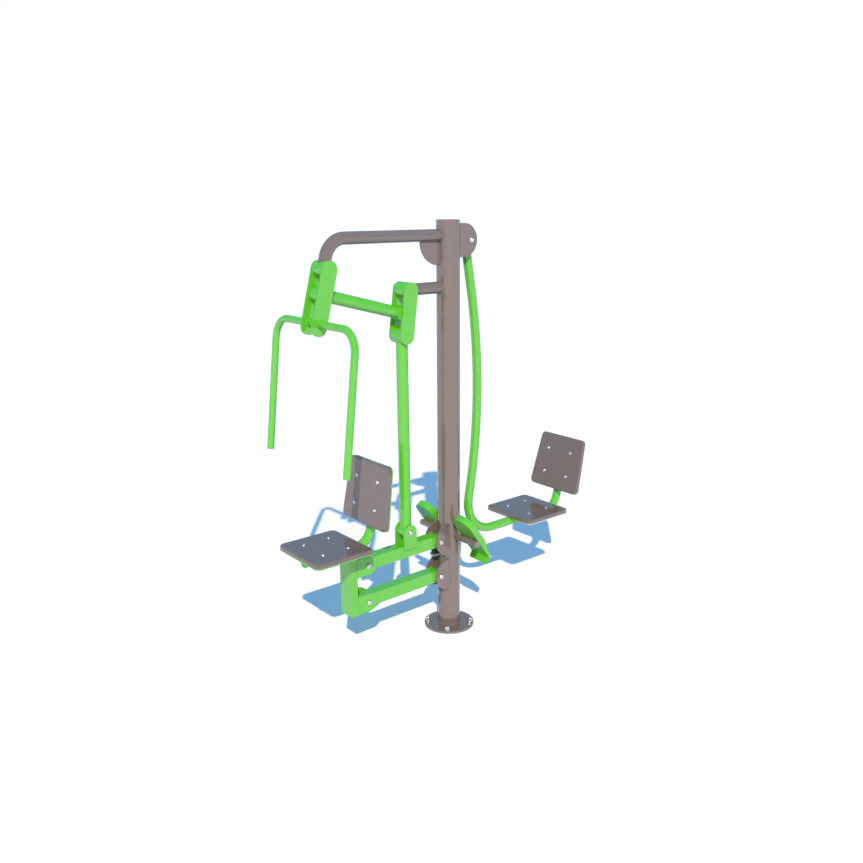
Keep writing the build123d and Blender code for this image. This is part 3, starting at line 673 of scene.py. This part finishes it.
def stitch_under(plate_bottom, first_x, last_x, count):
    """Short beads between a seat's plate and the tube under it, each half as long as its share."""
    z = plate_bottom - stitch_lift
    share = (last_x - first_x) / count
    starts = [first_x + share * (turn + 0.25) for turn in range(count)]
    lines = [straight((x, stitch_aside, z), (x + share / 2, stitch_aside, z)) for x in starts]
    return both_sides(*lines)


def stitch_behind(plate_node, lean):
    """Short beads between a backrest's plate and the tube behind it."""
    low, high = box_mm(plate_node)
    angle = radians(lean)
    along = Vector((sin(angle), 0, cos(angle)))
    back = Vector((cos(angle), 0, -sin(angle)))
    middle = (low + high) / 2
    middle.y = stitch_aside
    seam = middle + back * (plate_thickness / 2 + stitch_lift)
    return both_sides(*[straight(seam + along * low_end, seam + along * high_end)
                        for low_end, high_end in back_stitches])


print("stitches", round(stitch_aside, 1), "mm to each side of the middle")

# %% [markdown]
# The two seats. The chest press seat stands on a hollow upright. Its bent tube lies in a round notch
# in the upright's top, and the four lugs that take the ends of the two bars are welded to the side of
# it that faces the post. The leg press seat hangs on its long tube, which ends in a pivot hub at the
# top.

# %% Beads of the two seats
press_back_lean = 8.6
leg_back_lean = 14.5
swing_top_lean = radians(10)
lug_bead_half_height = 44
press_stitch_count = 4
leg_stitch_count = 5
seat_low, seat_high = box_mm("press_seat_plate")
upright_low, upright_high = box_mm("seat_upright")
frame_axis = seat_low.z - frame_tube_radius


def tube_in_upright(x):
    """The lower half of the joint where the frame tube lies in the upright's top."""
    def place_at(angle):
        return (x, frame_tube_radius * cos(angle), frame_axis - frame_tube_radius * sin(angle))
    return joint_line(place_at, 0, pi, pi * frame_tube_radius)


carriage_beads = [tube_in_upright(upright_low.x), tube_in_upright(upright_high.x)]
for bar_pivot in ("upper_bar_pivot", "lower_bar_pivot"):
    lug_z = (pivot_mm[bar_pivot] + bar_reach).z
    for y in (plate_inside, plate_outside):
        bottom = (upright_high.x, y, lug_z - lug_bead_half_height)
        top = (upright_high.x, y, lug_z + lug_bead_half_height)
        carriage_beads += both_sides(straight(bottom, top))
first_x = box_mm("press_frame_tube")[0].x + stitch_end_short
carriage_beads += stitch_under(seat_low.z, first_x, seat_high.x - stitch_end_short, press_stitch_count)
carriage_beads += stitch_behind("press_back_plate", press_back_lean)
weld("seat_carriage", green_paint, carriage_beads)

leg_low, leg_high = box_mm("leg_seat_plate")
swing_toward = (sin(swing_top_lean), -cos(swing_top_lean))
swing_joint = (frame_tube_radius, bar_hub_radius, frame_tube_radius)
swing_beads = tube_on_hub(pivot_mm["swing_pivot"], swing_toward, *swing_joint)
first_x = leg_low.x + stitch_end_short
swing_beads += stitch_under(leg_low.z, first_x, leg_high.x - stitch_end_short, leg_stitch_count)
swing_beads += stitch_behind("leg_back_plate", leg_back_lean)
weld("swing_seat", green_paint, swing_beads)

# %% [markdown]
# The floor. The photograph has a white ground with a blue shadow on it, and the undersides of the
# machine stay dim. A white floor would throw more light up under the seats than that, so this one
# answers two kinds of ray in two ways: what the eye sees, straight or in a reflection, is white, and
# what lights the machine from below is a light grey. Both are plain matt surfaces. The floor lies a
# hair below the flange, so that no two faces share a place, and is wide enough to reach the horizon.

# %% Floor
floor_size = 3000
floor_drop_mm = 0.5

bpy.ops.mesh.primitive_plane_add(size=floor_size, location=(0, 0, -mm(floor_drop_mm)))
floor = bpy.context.object
floor.name = "studio_floor"


def seen_by_eye(tree):
    """One for rays that the eye follows, straight, in a reflection or through glass, else zero."""
    ray = add(tree, "ShaderNodeLightPath").outputs
    straight_or_mirrored = larger(tree, ray["Is Camera Ray"], ray["Is Glossy Ray"])
    return larger(tree, straight_or_mirrored, ray["Is Transmission Ray"])


floor_paint, floor_tree, floor_shader = new_material("studio_floor_paint")
floor_tree.nodes.remove(floor_shader)
pale = add(floor_tree, "ShaderNodeBsdfDiffuse", values={"Color": linear("#FFFFFF")})
dim = add(floor_tree, "ShaderNodeBsdfDiffuse", values={"Color": linear("#CFCFCF")})
floor_mix = add(floor_tree, "ShaderNodeMixShader",
                links={0: seen_by_eye(floor_tree), 1: dim.outputs[0], 2: pale.outputs[0]})
floor_tree.links.new(floor_mix.outputs[0], floor_tree.nodes["Material Output"].inputs["Surface"])
floor.data.materials.append(floor_paint)
print("floor:", floor_size, "m across")

# %% [markdown]
# The lamps. The light falls from high behind the camera, a little warm, and its shadows are crisp.
# One sun lamp is the key. Its mirror image would be a hard white streak on every glossy tube, which
# the photograph doesn't show, so glossy rays don't see it. Bare metal shows nothing but reflections,
# so the bolts would then stay dull: a second lamp with the same settings shines on the fixings alone
# and gives them their glint.

# %% Lamps
key_strength = 4.28
key_softness = 0.7
key_elevation = 37.9
key_azimuth = -126.6

key = bpy.data.lights.new("key", "SUN")
key.energy = key_strength
key.angle = radians(key_softness)
key.color = linear("#FFEADA")[:3]
key_light = bpy.data.objects.new("key", key)
key_light.rotation_euler = (radians(90 - key_elevation), 0, radians(key_azimuth + 90))
key_light.visible_glossy = False
bpy.context.scene.collection.objects.link(key_light)

fixings = bpy.data.collections.new("fixings")
for piece in subparts:
    if piece["material_slot"] == "zinc_steel":
        fixings.objects.link(nodes[piece["node"]])
glint_light = bpy.data.objects.new("glint", key)
glint_light.rotation_euler = key_light.rotation_euler
glint_light.light_linking.receiver_collection = fixings
bpy.context.scene.collection.objects.link(glint_light)

# %% [markdown]
# The sky. It is the fill: pale near the horizon and deep blue above, as a clear sky is, so upright
# faces get a pale light and the shadow on the ground turns blue. What it shows is another matter, as
# with the floor. The camera sees a white backdrop. Reflections see a low haze that turns to a deeper
# blue above, which is what tints the tops of the seats.

# %% Sky
fill_strength = 1.1
glow_low = 15
glow_high = 25
haze_low = 3
haze_high = 15


def above(tree, ray_height, low, high):
    """Rises from zero to one between two heights in degrees above the horizon."""
    heights = {"From Min": sin(radians(low)), "From Max": sin(radians(high))}
    rise = add(tree, "ShaderNodeMapRange", values=heights, links={"Value": ray_height})
    return rise.outputs["Result"]


world = bpy.data.worlds.new("studio")
world.use_nodes = True
bpy.context.scene.world = world
sky = world.node_tree
sky.nodes.clear()
ray_direction = add(sky, "ShaderNodeTexCoord").outputs["Generated"]
ray_height = add(sky, "ShaderNodeSeparateXYZ", links={0: ray_direction}).outputs["Z"]
glow = two_tone(sky, above(sky, ray_height, glow_low, glow_high), "#F4FAFF", "#448DC3")
fill = add(sky, "ShaderNodeBackground", values={"Strength": fill_strength}, links={"Color": glow})
dome = two_tone(sky, above(sky, ray_height, haze_low, haze_high), "#ADCEDF", "#7BB3DC")
from_camera = add(sky, "ShaderNodeLightPath").outputs["Is Camera Ray"]
backdrop = add(sky, "ShaderNodeMix", {"data_type": "RGBA"}, {MIX_B: linear("#FFFFFF")},
               {"Factor": from_camera, MIX_A: dome})
shown_sky = add(sky, "ShaderNodeBackground", values={"Strength": 1},
                links={"Color": backdrop.outputs[MIX_OUT]})
either = add(sky, "ShaderNodeMixShader",
             links={0: seen_by_eye(sky), 1: fill.outputs[0], 2: shown_sky.outputs[0]})
add(sky, "ShaderNodeOutputWorld", links={"Surface": either.outputs[0]})
bpy.context.scene.view_settings.view_transform = "Standard"
print("fill", fill_strength, "pale up to", glow_low, "degrees")
